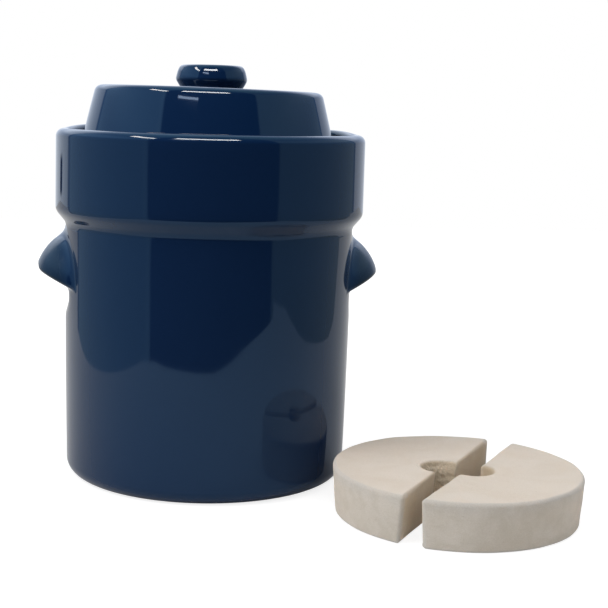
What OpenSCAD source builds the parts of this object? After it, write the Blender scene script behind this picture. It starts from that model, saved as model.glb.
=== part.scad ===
// Water seal pickle jar: a glazed stoneware crock with a gutter round its mouth,
// a cap lid that stands in the gutter, and the two half-round weights that go inside.
// Millimetres. The origin is the centre of the flat foot, +Z is up and -Y is the front.

/* [Crock] */
// Radius of the vessel wall just under the collar
wall_r = 102.4; // [90:0.1:125]
// How much narrower the wall is at the table, before the foot is rounded
wall_taper = 2.3; // [0:0.1:6]
// Height of the rim above the table
rim_z = 245; // [200:1:300]
// Thickness of the vessel wall
wall_t = 9.5; // [7:0.1:12]
// Thickness of the base
base_t = 10; // [8:0.1:14]
// Rounding between the wall and the foot
foot_round = 10; // [4:0.5:14]
// Rounding inside, between the wall and the floor
floor_round = 14; // [6:0.5:20]

/* [Gutter] */
// How far the collar stands out beyond the vessel wall
collar_out = 7.6; // [4:0.1:12]
// Height of the collar's upright band, down to its sharp lower corner
collar_h = 57; // [45:0.5:70]
// Angle of the collar's underside, from the vertical
under_angle = 40; // [30:1:60]
// Rounding of the collar's lower corner
corner_round = 8; // [4:0.5:9]
// Fillet between the collar's underside and the vessel wall
under_fillet = 8; // [4:0.5:9]
// Thickness of the collar
collar_t = 9; // [7:0.1:12]
// Depth of the gutter below the rim
gutter_d = 52; // [40:0.5:60]
// Width of the gutter between the collar and the neck
gutter_w = 22; // [18:0.1:26]
// Thickness of the gutter's floor
gutter_floor_t = 9; // [7:0.1:12]
// Thickness of the neck
neck_t = 8; // [6:0.1:9]
// How far the neck stays below the rim
neck_drop = 7; // [3:0.5:15]
// Outer rounding of the rim
rim_round_out = 5.6; // [2:0.1:6]
// Inner rounding of the rim
rim_round_in = 3; // [1:0.1:3]

/* [Lugs] */
// Radius of the ball that shapes each lug
lug_ball_r = 40; // [32:0.5:48]
// How far a lug's tip reaches beyond the vessel wall
lug_reach = 21.7; // [15:0.1:28]
// Drop from the collar's underside to the middle of the lug's ball
lug_drop = 44.5; // [36:0.5:56]
// Slope of the lug's underside, from the horizontal
lug_slope = 30.7; // [15:0.1:45]
// Drop from the middle of the ball to where the underside meets the wall
lug_under = 2.8; // [0:0.1:8]
// Radius of the finger hollow under a lug
hollow_r = 16; // [10:0.5:18]
// Distance of the finger hollow's middle from the vessel wall
hollow_out = 8; // [5:0.5:12]
// Drop from the middle of the ball to the finger hollow's middle
hollow_drop = 6.5; // [4:0.5:10]
// Depth of the thumb dent in the wall below a lug
dent_d = 2.9; // [1:0.1:4]
// Radius of the ball that shapes the dent
dent_r = 22; // [15:0.5:30]
// Drop from the middle of the lug's ball to the dent
dent_drop = 9; // [6:0.5:14]
// Turn of the pair of lugs, which brings the left one forward
lug_turn = 4.6; // [0:0.1:10]

/* [Lid] */
// Play between the lid's skirt and the neck, all round
lid_play = 5; // [3.5:0.1:8]
// Thickness of the lid's skirt
lid_t = 6.5; // [5:0.1:9]
// Thickness of the lid's top
lid_top_t = 7.5; // [6:0.1:10]
// Height of the lid's top above the rim
lid_rise = 31.5; // [22:0.5:45]
// Slope of the lid's side above the skirt, from the vertical
lid_slope = 13.4; // [5:0.1:18]
// Height of the straight skirt below the sloped side
skirt_h = 40; // [28:0.5:46]
// Rounding of the lid's shoulder
lid_round = 7; // [3:0.5:12]
// Rounding of the lid's lower edge
lid_foot_round = 2.5; // [1:0.1:3]
// Radius of the two gas notches in the lid's lower edge
gas_notch_r = 5; // [3:0.5:8]
// How far the lid stands off centre in its gutter, towards -X
lid_shift = 2.8; // [0:0.1:3]

/* [Knob] */
// Radius of the knob where it is widest
knob_r = 25.6; // [20:0.1:32]
// Radius of the knob where it leaves the lid
knob_foot_r = 20; // [14:0.1:26]
// Radius of the knob's top before it is rounded
knob_top_r = 23.3; // [18:0.1:28]
// Height of the knob above the lid
knob_h = 16.5; // [12:0.5:24]
// Height of the widest place above the lid
knob_waist_h = 5.7; // [3:0.1:10]
// Rounding of the widest place
knob_waist_round = 3; // [1:0.5:5]
// Rounding of the knob's upper edge
knob_round = 7.5; // [2:0.5:9]
// How far the knob stands off centre on the crock, towards -X
knob_shift = 0.8; // [0:0.1:3]

/* [Weights] */
// Play between the weights' round edge and the vessel wall
weight_play = 10.6; // [5:0.1:20]
// Thickness of a weight
weight_t = 31.4; // [20:0.1:40]
// How much smaller the underside's radius is than the top's
weight_draft = 2.5; // [0:0.1:5]
// Rounding of a weight's upper edge
weight_round = 2.8; // [1:0.1:5]
// Rounding of a weight's lower edge
weight_foot_round = 1.5; // [0.5:0.1:3]
// Radius of the grip notch in the middle of each cut face
notch_r = 13.5; // [8:0.5:18]
// Clear distance between the weights' round edge and the crock on the table
weights_apart = 11.8; // [5:0.1:60]
// Direction from the crock to the weights, from +X towards +Y
weights_bearing = -32.2; // [-90:0.1:0]
// Direction of the left weight's cut face, from +X
left_turn = 62; // [45:0.1:80]
// How far the left cut face stands back from the disc's middle, in front of the notch
left_front_cut = 8.5; // [0:0.1:14]
// How far the left cut face stands back from the disc's middle, behind the notch
left_rear_cut = 2.5; // [0:0.1:14]
// Place of the left notch along the cut face, towards the rear
left_notch_at = -5; // [-15:0.1:15]
// Direction of the right weight's cut face, from +X
right_turn = 60; // [45:0.1:80]
// How far the right cut face stands back from the disc's middle, in front of the notch
right_front_cut = 10.5; // [0:0.1:14]
// How far the right cut face stands back from the disc's middle, behind the notch
right_rear_cut = 11; // [0:0.1:14]
// Place of the right notch along the cut face, towards the rear
right_notch_at = -1.5; // [-15:0.1:15]

/* [Hidden] */

$fn = 96;
arc_steps = 8;
far = 400;
glaze = "#14294a";
bare_clay = "#cfc6b8";

// Heights and radii of the crock that follow from the sizes above
collar_r = wall_r + collar_out;
collar_in = collar_r - collar_t;
neck_out = collar_in - gutter_w;
neck_in = neck_out - neck_t;
neck_z = rim_z - neck_drop;
gutter_z = rim_z - gutter_d;
collar_z = rim_z - collar_h;
under_z = collar_z - collar_out / tan(under_angle);
inner_r = wall_r - wall_t;
foot_r = wall_r - wall_taper;
ceiling_z = gutter_z - gutter_floor_t;
shoulder_drop = 6;
shoulder_round = 10;
throat_round = 6;
gutter_fillet = 3;
neck_round = neck_t * 0.45;

// Places of the lugs
lug_z = under_z - lug_drop;
lug_mid_r = wall_r + lug_reach - lug_ball_r;
lug_foot_z = lug_z - lug_under;

// Places of the lid and the knob
skirt_in = neck_out + lid_play;
skirt_out = skirt_in + lid_t;
lid_z = rim_z + lid_rise;
slope_z = gutter_z + skirt_h;
lid_top_r = skirt_out - (lid_z - slope_z) * tan(lid_slope);
lid_ceiling_z = lid_z - lid_top_t;
lid_ceiling_r = lid_top_r - lid_t + lid_top_t * tan(lid_slope);

// Place of the weights on the table, as one disc that was cut in two
weight_r = inner_r - weight_play;
weights_away = wall_r + weight_r + weights_apart;
weights_mid = weights_away * [cos(weights_bearing), sin(weights_bearing)];

function unit(v) = v / norm(v);

// Points along the arc of radius r that rounds the corner at v between a and b
function corner_arc(a, v, b, r) =
    let (
        u = unit(a - v),
        w = unit(b - v),
        half = acos(u * w) / 2,
        c = v + unit(u + w) * r / sin(half),
        first = v + u * r / tan(half) - c,
        last = v + w * r / tan(half) - c,
        start = atan2(first.y, first.x),
        sweep = (atan2(last.y, last.x) - start + 540) % 360 - 180
    )
    [for (i = [0:arc_steps]) c + r * [cos(start + sweep * i / arc_steps), sin(start + sweep * i / arc_steps)]];

// An outline whose corners are given as [x, y, rounding]
function rounded(corners) = [
    for (i = [0:len(corners) - 1])
        let (
            n = len(corners),
            a = corners[(i + n - 1) % n],
            v = corners[i],
            b = corners[(i + 1) % n]
        )
        each (v.z > 0 ? corner_arc([a.x, a.y], [v.x, v.y], [b.x, b.y], v.z) : [[v.x, v.y]])
];

module turned(corners) {
    rotate_extrude() polygon(rounded(corners));
}

// The section of the thrown crock: vessel, shoulder, neck, gutter and collar in one
module crock_section() {
    turned([
        [0, 0, 0],
        [foot_r, 0, foot_round],
        [wall_r, under_z, under_fillet],
        [collar_r, collar_z, corner_round],
        [collar_r, rim_z, rim_round_out],
        [collar_in, rim_z, rim_round_in],
        [collar_in, gutter_z, gutter_fillet],
        [neck_out, gutter_z, gutter_fillet],
        [neck_out, neck_z, neck_round],
        [neck_in, neck_z, neck_round],
        [neck_in, ceiling_z, throat_round],
        [inner_r, ceiling_z - shoulder_drop, shoulder_round],
        [foot_r - wall_t, base_t, floor_round],
        [0, base_t, 0]
    ]);
}

// Places its children at a lug: side is 1 on the right and -1 on the left
module at_lug(side) {
    rotate(lug_turn + (side < 0 ? 180 : 0)) children();
}

module crock_body() {
    color(glaze) difference() {
        crock_section();
        for (side = [-1, 1])
            at_lug(side)
                translate([wall_r + dent_r - dent_d, 0, lug_z - dent_drop]) sphere(dent_r);
    }
}

// A lug is a ball of clay luted to the wall, cut away below and hollowed for the fingers
module lug(side) {
    color(glaze) difference() {
        at_lug(side) translate([lug_mid_r, 0, lug_z]) sphere(lug_ball_r);
        rotate_extrude() polygon([[0, 0], [foot_r, 0], [wall_r, under_z], [wall_r, rim_z], [0, rim_z]]);
        rotate_extrude() polygon([
            [0, 0],
            [far, 0],
            [far, lug_foot_z + (far - wall_r) * tan(lug_slope)],
            [wall_r, lug_foot_z],
            [0, lug_foot_z]
        ]);
        at_lug(side)
            translate([wall_r + hollow_out, 0, lug_z - hollow_drop]) sphere(hollow_r);
    }
}

module lug_left() {
    lug(-1);
}

module lug_right() {
    lug(1);
}

module lid() {
    color(glaze) translate([-lid_shift, 0, 0]) difference() {
        turned([
            [0, lid_z, 0],
            [0, lid_ceiling_z, 0],
            [lid_ceiling_r, lid_ceiling_z, lid_round],
            [skirt_in, slope_z, lid_round],
            [skirt_in, gutter_z, lid_foot_round],
            [skirt_out, gutter_z, lid_foot_round],
            [skirt_out, slope_z, lid_round],
            [lid_top_r, lid_z, lid_round]
        ]);
        translate([0, 0, gutter_z]) rotate([90, 0, 0])
            cylinder(h = 4 * skirt_out, r = gas_notch_r, center = true);
    }
}

module lid_knob() {
    color(glaze) translate([-knob_shift, 0, lid_z]) turned([
        [0, 0, 0],
        [knob_foot_r, 0, 0],
        [knob_r, knob_waist_h, knob_waist_round],
        [knob_top_r, knob_h, knob_round],
        [0, knob_h, 0]
    ]);
}

// Half a drafted disc. Its cut face runs along X, with the stone on the side of keep (1 is +Y).
// It was cut by hand, so it stands back unevenly, by front_cut before the notch and rear_cut behind it
module half_weight(keep, front_cut, rear_cut, notch_at) {
    disc_bottom_r = weight_r - weight_draft;
    difference() {
        turned([
            [0, 0, 0],
            [disc_bottom_r, 0, weight_foot_round],
            [weight_r, weight_t, weight_round],
            [0, weight_t, 0]
        ]);
        translate([0, 0, -1]) linear_extrude(weight_t + 2) {
            polygon([
                [-far, -keep * far],
                [-far, keep * front_cut],
                [notch_at, keep * front_cut],
                [notch_at, keep * rear_cut],
                [far, keep * rear_cut],
                [far, -keep * far]
            ]);
            translate([notch_at, keep * max(front_cut, rear_cut)]) circle(notch_r);
        }
    }
}

module weight_left() {
    color(bare_clay) translate(weights_mid) rotate(left_turn)
        half_weight(1, left_front_cut, left_rear_cut, left_notch_at);
}

module weight_right() {
    color(bare_clay) translate(weights_mid) rotate(right_turn)
        half_weight(-1, right_front_cut, right_rear_cut, right_notch_at);
}

crock_body();
lug_left();
lug_right();
lid();
lid_knob();
weight_left();
weight_right();
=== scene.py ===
from types import SimpleNamespace

import bpy
import numpy as np
from mathutils import Matrix, Vector


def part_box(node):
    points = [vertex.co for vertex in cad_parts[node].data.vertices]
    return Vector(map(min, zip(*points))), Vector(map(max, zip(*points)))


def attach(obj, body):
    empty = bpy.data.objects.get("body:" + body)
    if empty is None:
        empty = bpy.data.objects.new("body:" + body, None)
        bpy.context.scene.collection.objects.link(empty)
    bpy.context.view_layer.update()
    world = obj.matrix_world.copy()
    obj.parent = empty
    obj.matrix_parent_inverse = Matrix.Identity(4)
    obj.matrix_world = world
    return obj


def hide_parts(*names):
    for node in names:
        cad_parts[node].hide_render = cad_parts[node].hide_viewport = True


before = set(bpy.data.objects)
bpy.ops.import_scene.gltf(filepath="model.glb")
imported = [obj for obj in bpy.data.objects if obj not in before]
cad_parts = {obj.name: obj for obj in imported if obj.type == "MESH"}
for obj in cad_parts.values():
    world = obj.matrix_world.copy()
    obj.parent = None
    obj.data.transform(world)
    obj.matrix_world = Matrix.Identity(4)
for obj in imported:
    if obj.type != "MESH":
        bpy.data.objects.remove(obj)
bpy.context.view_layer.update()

bl_info = {
    "name": "Water seal pickle jar",
    "version": (1, 0, 0),
    "blender": (4, 5, 0),
    "location": "View3D > Sidebar > Pickle jar",
    "description": "Makes a glazed crock with a water gutter, its cap lid and its two half-round weights",
    "category": "Add Mesh",
}

CROCK_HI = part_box("crock_body")[1]
LID_LO, LID_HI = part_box("lid")
KNOB_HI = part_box("lid_knob")[1]
STONE_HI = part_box("weight_left")[1]


def length(name, description, millimetres):
    """A size in metres whose default is given in millimetres."""
    return bpy.props.FloatProperty(
        name=name, description=description, default=millimetres * 0.001, unit="LENGTH", precision=5
    )


def lean(name, description, radians):
    """A small angle in radians."""
    return bpy.props.FloatProperty(
        name=name, description=description, default=radians, subtype="ANGLE", precision=4
    )


def brightness(name, description, amount, unit):
    """How strong a light is."""
    return bpy.props.FloatProperty(
        name=name, description=description, default=amount, min=0.0, unit=unit
    )


def tint(name, description, colour):
    """A colour, given as the linear amounts of red, green and blue."""
    return bpy.props.FloatVectorProperty(
        name=name, description=description, default=colour, subtype="COLOR", size=3, min=0.0, max=1.0
    )


class CrockSizes(bpy.types.PropertyGroup):
    """Sizes of the thrown crock and its lugs. Most are the CAD's, and a few follow the real crock more
    closely."""

    wall_r: length("Wall radius", "Radius of the vessel wall just under the collar", 102.6)
    wall_taper: length("Wall taper", "How much narrower the wall is at the table", 2.3)
    wall_t: length("Wall thickness", "Thickness of the vessel wall", 9.5)
    base_t: length("Base thickness", "Thickness of the base", 10.0)
    foot_round: length("Foot rounding", "Rounding between the wall and the foot", 10.0)
    floor_round: length("Floor rounding", "Rounding inside, between the wall and the floor", 14.0)
    collar_r: length("Collar radius", "Outer radius of the collar", CROCK_HI.x * 1000 - 0.2)
    collar_h: length("Collar height", "Height of the collar's upright band", 57.0)
    collar_t: length("Collar thickness", "Thickness of the collar", 9.0)
    collar_round: length("Collar rounding", "Rounding at both ends of the slope below the collar", 8.0)
    rim_z: length("Rim height", "Height of the rim above the table", CROCK_HI.z * 1000)
    rim_round: length("Rim rounding", "Rounding of the rim's outer edge", 5.6)
    gutter_d: length("Gutter depth", "Depth of the gutter below the rim", 52.0)
    gutter_w: length("Gutter width", "Width of the gutter between the collar and the neck", 22.0)
    gutter_round: length("Gutter rounding", "Rounding of the gutter's corners and the rim's inside", 3.0)
    gutter_t: length("Gutter floor", "Thickness of the gutter's floor", 9.0)
    neck_t: length("Neck thickness", "Thickness of the neck", 8.0)
    neck_drop: length("Neck drop", "How far the neck stays below the rim", 7.0)
    neck_foot_round: length("Neck foot rounding", "Rounding inside, between the neck and the shoulder", 6.0)
    shoulder_drop: length("Shoulder drop", "How much lower the shoulder is at the wall than at the neck", 6.0)
    shoulder_round: length("Shoulder rounding", "Rounding inside, between the wall and the shoulder", 10.0)
    lug_ball_r: length("Lug ball radius", "Radius of the ball that shapes each lug", 40.0)
    lug_reach: length("Lug reach", "How far a lug's tip reaches beyond the wall", 21.6)
    lug_drop: length("Lug drop", "Drop from the collar's underside to the middle of the lug's ball", 43.0)
    lug_foot: length("Lug foot", "Drop from the middle of the lug's ball to its foot on the wall", 1.8)
    lug_tip: length("Lug tip", "How softly a lug's tip is rounded", 3.0)
    lug_root: length("Lug root", "How wide the slip is that fills a lug's root from below", 3.0)
    lug_neck: length("Lug neck", "How wide the slip is that fills a lug's root from above", 9.0)
    hollow_r: length("Finger hollow radius", "Radius of the finger hollow under a lug", 16.0)
    hollow_out: length("Finger hollow place", "How far outside the wall the middle of the hollow is", 8.0)
    hollow_drop: length("Finger hollow drop", "Drop from the middle of the lug's ball to the hollow's", 6.5)
    dent_r: length("Dent radius", "Radius of the thumb dent below a lug, seen from the side", 24.0)
    dent_d: length("Dent depth", "Depth of the thumb dent", 3.4)
    dent_drop: length("Dent drop", "Drop from the middle of the lug's ball to the wide dent's", 8.5)
    dent_edge: length("Dent edge", "How softly the wide dent runs out into the wall", 4.0)
    thumb_step: length("Thumb step", "How much smaller in radius the dent's middle is", 2.0)
    thumb_drop: length("Thumb drop", "Drop from the middle of the lug's ball to the dent's middle", 9.0)
    thumb_edge: length("Thumb edge", "How softly the dent's middle runs out", 2.5)
    warp: length("Warp", "How much higher the rim stands at the rear", 2.3)
    waves: length("Waves", "How far the hand-finished wall sinks between its highest places", 0.16)


class LidSizes(bpy.types.PropertyGroup):
    """Sizes of the cap lid and its knob. Most are the CAD's, and a few follow the real lid more closely."""

    skirt_out: length("Skirt radius", "Outer radius of the skirt", (LID_HI.x - LID_LO.x) * 500)
    lid_t: length("Lid thickness", "Thickness of the skirt", 6.5)
    top_t: length("Top thickness", "Thickness of the lid's top", 7.5)
    foot_z: length("Skirt foot", "Height of the skirt's foot above the table", LID_LO.z * 1000)
    skirt_h: length("Skirt height", "Height of the straight skirt below the sloped side", 40.0)
    top_z: length("Lid height", "Height of the lid's top above the table", LID_HI.z * 1000)
    side_in: length("Side slope", "How far the sloped side leans in", 10.36)
    foot_round: length("Skirt rounding", "Rounding of the skirt's foot", 2.5)
    lid_round: length("Shoulder rounding", "Rounding of the lid's shoulder", 5.2)
    notch_r: length("Gas notch radius", "Radius of the two gas notches in the skirt's foot", 5.0)
    notch_reach: length("Gas notch reach", "How far up the skirt the lift over a gas notch fades out", 22.0)
    lid_shift: length("Lid shift", "How far the lid stands off centre in its gutter", 2.0)
    sag: length("Sag", "How much lower the lid's top lies than in the CAD, in its middle", 1.5)
    tilt: length("Tilt", "How much the lid's top falls across 100 mm, towards the right", 1.36)
    knob_top: length("Knob height", "Height of the knob's top above the table", KNOB_HI.z * 1000 - 1.5)
    knob_r: length("Knob radius", "Radius of the knob where it is widest", 25.5)
    knob_foot_r: length("Knob foot radius", "Radius of the knob where it leaves the lid", 21.6)
    knob_foot_round: length("Knob foot rounding", "Rounding where the knob leaves the lid", 1.1)
    knob_waist: length("Knob waist", "Height of the widest place above the lid", 5.3)
    knob_waist_round: length("Knob waist rounding", "Rounding of the widest place", 2.2)
    knob_side_r: length("Knob side radius", "Radius where the knob's side turns in towards its top", 24.1)
    knob_side: length("Knob side", "Height above the lid where the knob's side turns in", 10.9)
    knob_side_round: length("Knob side rounding", "Rounding where the knob's side turns in", 11.0)
    knob_top_r: length("Knob top radius", "Radius of the knob's top before it is rounded", 22.1)
    knob_round: length("Knob rounding", "Rounding of the knob's top", 4.0)
    knob_shift: length("Knob shift", "How far the knob stands off centre on the crock", 0.8)
    bulge: length("Bulge", "How far the lid's sloped side bulges in its middle", 0.3)
    waves: length("Waves", "How far the hand-finished lid sinks between its highest places", 0.05)


class StoneSizes(bpy.types.PropertyGroup):
    """Sizes of the disc that both weights were cut from, as the CAD has them, and its unevenness."""

    stone_r: length("Radius", "Radius of the disc that both halves were cut from", 82.3)
    stone_t: length("Thickness", "Thickness of the weights", STONE_HI.z * 1000)
    draft: length("Draft", "How much smaller the underside's radius is than the top's", 2.5)
    top_round: length("Upper rounding", "Rounding of the upper edge", 2.8)
    foot_round: length("Lower rounding", "Rounding of the lower edge", 1.5)
    notch_r: length("Notch radius", "Radius of the grip notch in the middle of each cut face", 13.5)
    middle_x: length("Middle across", "Place of the disc's middle to the right of the crock's axis", 166.28)
    middle_y: length("Middle in depth", "Place of the disc's middle behind the crock's axis", -104.71)
    unevenness: length("Unevenness", "How far the pressed faces sink between their highest places", 0.35)


class Finishes(bpy.types.PropertyGroup):
    """Colours of the glaze and of the bare clay, with the painted shade on the lugs and the painted sheen on
    the weights' edges.
    """

    glaze: tint("Glaze", "Dark blue of the glaze where it is thick", (0.0048, 0.0150, 0.0455))
    glaze_thin: tint("Thin glaze", "Blue of the glaze where it is thin", (0.0066, 0.0195, 0.0560))
    # Painted shade: the lugs' colour is darkened to stand in for the dimmer light their glaze shows
    glaze_lug: tint("Painted lug shade", "Painted shade that darkens the lugs", (0.003, 0.006, 0.012))
    pinhole: tint("Pinholes", "Paler blue of the pinholes", (0.055, 0.070, 0.095))
    reflection: tint("Reflection", "Tint of what the glaze reflects", (0.415, 0.70, 1.0))
    body_clay: tint("Body clay", "Bare clay of the crock's foot and the lid's foot", (0.30, 0.20, 0.12))
    body_grain: tint("Clay grain", "Darker grain of the bare clay", (0.16, 0.10, 0.06))
    stone: tint("Stone", "Pale stoneware of the weights", (0.60, 0.55, 0.485))
    stone_stain: tint("Stain", "Stoneware where the faint stains are", (0.565, 0.505, 0.43))
    stone_cut: tint("Cut stone", "Browner stoneware of the cut faces and the notches", (0.53, 0.435, 0.315))
    # Painted sheen: a greyer, bluish tone along the rounded edges that stands in for the light they catch
    stone_edge: tint("Edge sheen", "Greyer stoneware along the rounded edges", (0.52, 0.50, 0.47))
    stone_pit: tint("Pits", "Dark of the pits", (0.24, 0.20, 0.16))
    stone_flank: tint("Flank", "Browner mottle on the upright faces", (0.44, 0.395, 0.315))
    stone_scratch: tint("Scratches", "Brown of the level scratches on the flanks", (0.40, 0.35, 0.29))


class StudioSettings(bpy.types.PropertyGroup):
    """Where the camera stands and how bright the studio is."""

    away: length("Camera distance", "How far the camera stands in front of the crock's axis", 924.84)
    up: length("Camera height", "Height of the camera above the table", 261.53)
    yaw: lean("Yaw", "How far the camera is turned to its left", -0.04771)
    pitch: lean("Pitch", "How far the camera looks down", 0.11786)
    roll: lean("Roll", "How far the camera is rolled", 0.02612)
    dome: brightness("Dome", "Strength of the soft light overhead", 1.19, "NONE")
    lamp: brightness("Lamp", "Power of the soft lamp above and to the left", 19.0, "POWER")
    lamp_size: length("Lamp size", "Width of the soft lamp", 1000.0)


def in_millimetres(sizes):
    """All the lengths of a group of sizes, in millimetres."""
    return SimpleNamespace(**{key: getattr(sizes, key) * 1000 for key in sizes.__annotations__})


def smooth_step(value, start, end):
    """0 before start, 1 after end, and in between 3t^2 - 2t^3, where t is the share of the way."""
    t = np.clip((value - start) / (end - start), 0.0, 1.0)
    return t * t * (3 - 2 * t)


def blended_least(a, b, width):
    """The lesser of a and b. Where they differ by less than width, a cubic of what is left of the
    width is taken off, so the corner between the two becomes a fillet."""
    left = np.maximum(width - np.abs(a - b), 0.0) / width
    return np.minimum(a, b) - left**3 * width / 6


def blended_most(a, b, width):
    """The greater of a and b, with the same rounding on the other side."""
    return -blended_least(-a, -b, width)


def waves(angle, height, start):
    """Long shallow waves round and up a turned form, from 0 to 1: a weighted mean of six sine waves, each
    a whole number of times round and slowly turning with the height."""
    total = (
        0.30 * np.sin(2 * angle + 0.021 * height + start)
        + 0.22 * np.sin(3 * angle - 0.034 * height + 2.1 * start)
        + 0.18 * np.sin(5 * angle + 0.047 * height + 3.7 * start)
        + 0.12 * np.sin(8 * angle - 0.062 * height + 1.3 * start)
        + 0.10 * np.sin(13 * angle + 0.081 * height + 0.7 * start)
        + 0.08 * np.sin(angle + 0.130 * height + 5.1 * start)
    )
    return 0.5 + 0.5 * total


def lumps(x, y, z, grain, start):
    """Uneven lumps about grain millimetres across, from -1 to 1: products of sine waves whose
    directions don't repeat, in three sizes of which each is about half the last."""
    total = 0.0
    for octave, share in enumerate((0.55, 0.3, 0.15)):
        k = 2 * np.pi / grain * 1.93**octave
        s = start + 1.7 * octave
        first = np.sin(k * (0.81 * x + 0.53 * y + 0.23 * z) + s)
        first = first * np.cos(k * (0.43 * y - 0.78 * x + 0.45 * z) + 2.3 * s)
        second = np.sin(k * (0.31 * x - 0.87 * y + 0.39 * z) + 3.1 * s)
        second = second * np.cos(k * (0.66 * z + 0.52 * x) + 1.1 * s)
        total = total + share * (first + second)
    return total


def rounded_outline(corners, gap):
    """An open outline through corners of (x, y, rounding, and a gap of its own if there is one). Each
    corner becomes an arc that touches both of its sides, and the straight run that leads to it gets
    points no further apart than the gap."""
    places = np.array([c[:2] for c in corners], float)
    parts = [places[:1]]
    for i in range(1, len(corners)):
        corner, rounding = places[i], corners[i][2]
        arc = corner[None]
        if rounding > 0:
            u = (places[i - 1] - corner) / np.hypot(*(places[i - 1] - corner))
            w = (places[i + 1] - corner) / np.hypot(*(places[i + 1] - corner))
            half = np.arccos(u @ w) / 2
            centre = corner + (u + w) / np.hypot(*(u + w)) * rounding / np.sin(half)
            first = corner + u * rounding / np.tan(half) - centre
            last = corner + w * rounding / np.tan(half) - centre
            start = np.arctan2(first[1], first[0])
            sweep = (np.arctan2(last[1], last[0]) - start + 3 * np.pi) % (2 * np.pi) - np.pi
            turn = start + sweep * np.linspace(0, 1, max(5, int(np.ceil(abs(sweep) / 0.13))))
            arc = centre + rounding * np.stack([np.cos(turn), np.sin(turn)], -1)
        before = parts[-1][-1]
        spacing = corners[i][3] if len(corners[i]) > 3 else gap
        count = int(np.ceil(np.hypot(*(arc[0] - before)) / spacing))
        share = (np.arange(1, count) / count)[:, None]
        parts += [before + (arc[0] - before) * share, arc]
    return np.concatenate(parts)


def spaced_angles(count, places, half_width, gain):
    """Angles once round, closer together near each of the places: their spacing is the inverse of a
    density that is 1 + gain within half_width of a place and 1 elsewhere."""
    turn = np.linspace(0, 2 * np.pi, 7201)
    off = np.abs((turn[:, None] - np.asarray(places)[None] + np.pi) % (2 * np.pi) - np.pi).min(1)
    density = 1 + gain / (1 + np.exp((off - half_width) / 0.02))
    total = np.concatenate([[0], np.cumsum((density[1:] + density[:-1]) / 2)])
    return np.interp(np.arange(count) / count * total[-1], total, turn)


def evenly_along(r, z, count):
    """Every column of an outline, given again by count points at equal steps along its length."""
    step = np.hypot(np.diff(r, axis=0), np.diff(z, axis=0))
    run = np.concatenate([np.zeros((1, r.shape[1])), np.cumsum(step, 0)])
    column = 2.0 * np.arange(r.shape[1])
    known = (run / run[-1] + column).T.ravel()
    wanted = (np.linspace(0, 1, count)[:, None] + column).T.ravel()
    shape = (r.shape[1], count)
    return (
        np.interp(wanted, known, r.T.ravel()).reshape(shape).T,
        np.interp(wanted, known, z.T.ravel()).reshape(shape).T,
    )


def closed_form(name, points, poles, layers, flipped=False):
    """A smooth closed mesh from a grid of points in millimetres. Each row is a closed ring, each is
    joined to the next by quads, and the two poles close the first and the last ring. layers are
    values per grid point, kept as attributes for the material, and flipped turns the faces round."""
    rows, columns = points.shape[:2]
    grid = np.arange(rows * columns).reshape(rows, columns)
    ahead = np.roll(grid, -1, axis=1)
    quads = np.stack([grid[:-1], ahead[:-1], ahead[1:], grid[1:]], -1).reshape(-1, 4)
    first, last = rows * columns, rows * columns + 1
    start = np.stack([np.full(columns, first), ahead[0], grid[0]], -1)
    end = np.stack([grid[-1], ahead[-1], np.full(columns, last)], -1)
    triangles = np.concatenate([start, end])
    if flipped:
        quads, triangles = quads[:, ::-1], triangles[:, ::-1]
    corners = np.concatenate([quads.ravel(), triangles.ravel()]).astype(np.int32)
    sizes = np.concatenate([np.full(len(quads), 4), np.full(len(triangles), 3)])
    starts = np.concatenate([[0], np.cumsum(sizes)[:-1]]).astype(np.int32)
    places = np.concatenate([points.reshape(-1, 3), np.asarray(poles, float)]) * 0.001
    mesh = bpy.data.meshes.new(name)
    mesh.vertices.add(len(places))
    mesh.vertices.foreach_set("co", places.astype(np.float32).ravel())
    mesh.loops.add(len(corners))
    mesh.loops.foreach_set("vertex_index", corners)
    mesh.polygons.add(len(starts))
    mesh.polygons.foreach_set("loop_start", starts)
    mesh.update(calc_edges=True)
    mesh.polygons.foreach_set("use_smooth", np.ones(len(starts), bool))
    for key, values in layers.items():
        ends = [values[0].mean(), values[-1].mean()]
        layer = mesh.attributes.new(key, "FLOAT", "POINT")
        layer.data.foreach_set("value", np.concatenate([values.ravel(), ends]).astype(np.float32))
    if mesh.validate():
        raise RuntimeError(f"the mesh of {name} has faulty faces")
    made = bpy.data.objects.new(name, mesh)
    bpy.context.scene.collection.objects.link(made)
    return made


def finished(piece, material, body, slot_name, *nodes):
    """Gives a piece its material, lets it ride on its body and stand for its CAD nodes."""
    piece.data.materials.append(material)
    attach(piece, body)
    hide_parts(*nodes)


# Slope below the collar, from the upright
COLLAR_SLOPE = np.radians(40)
# How far round from the right and the left the middles of the lugs are
LUG_TURN = np.radians(4.6)
# Slope of a lug's underside, from the level
LUG_SLOPE = np.radians(30.7)
# Half the angle of the part of the wall that a lug's outline takes up
LUG_HALF_ANGLE = 0.47


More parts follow.
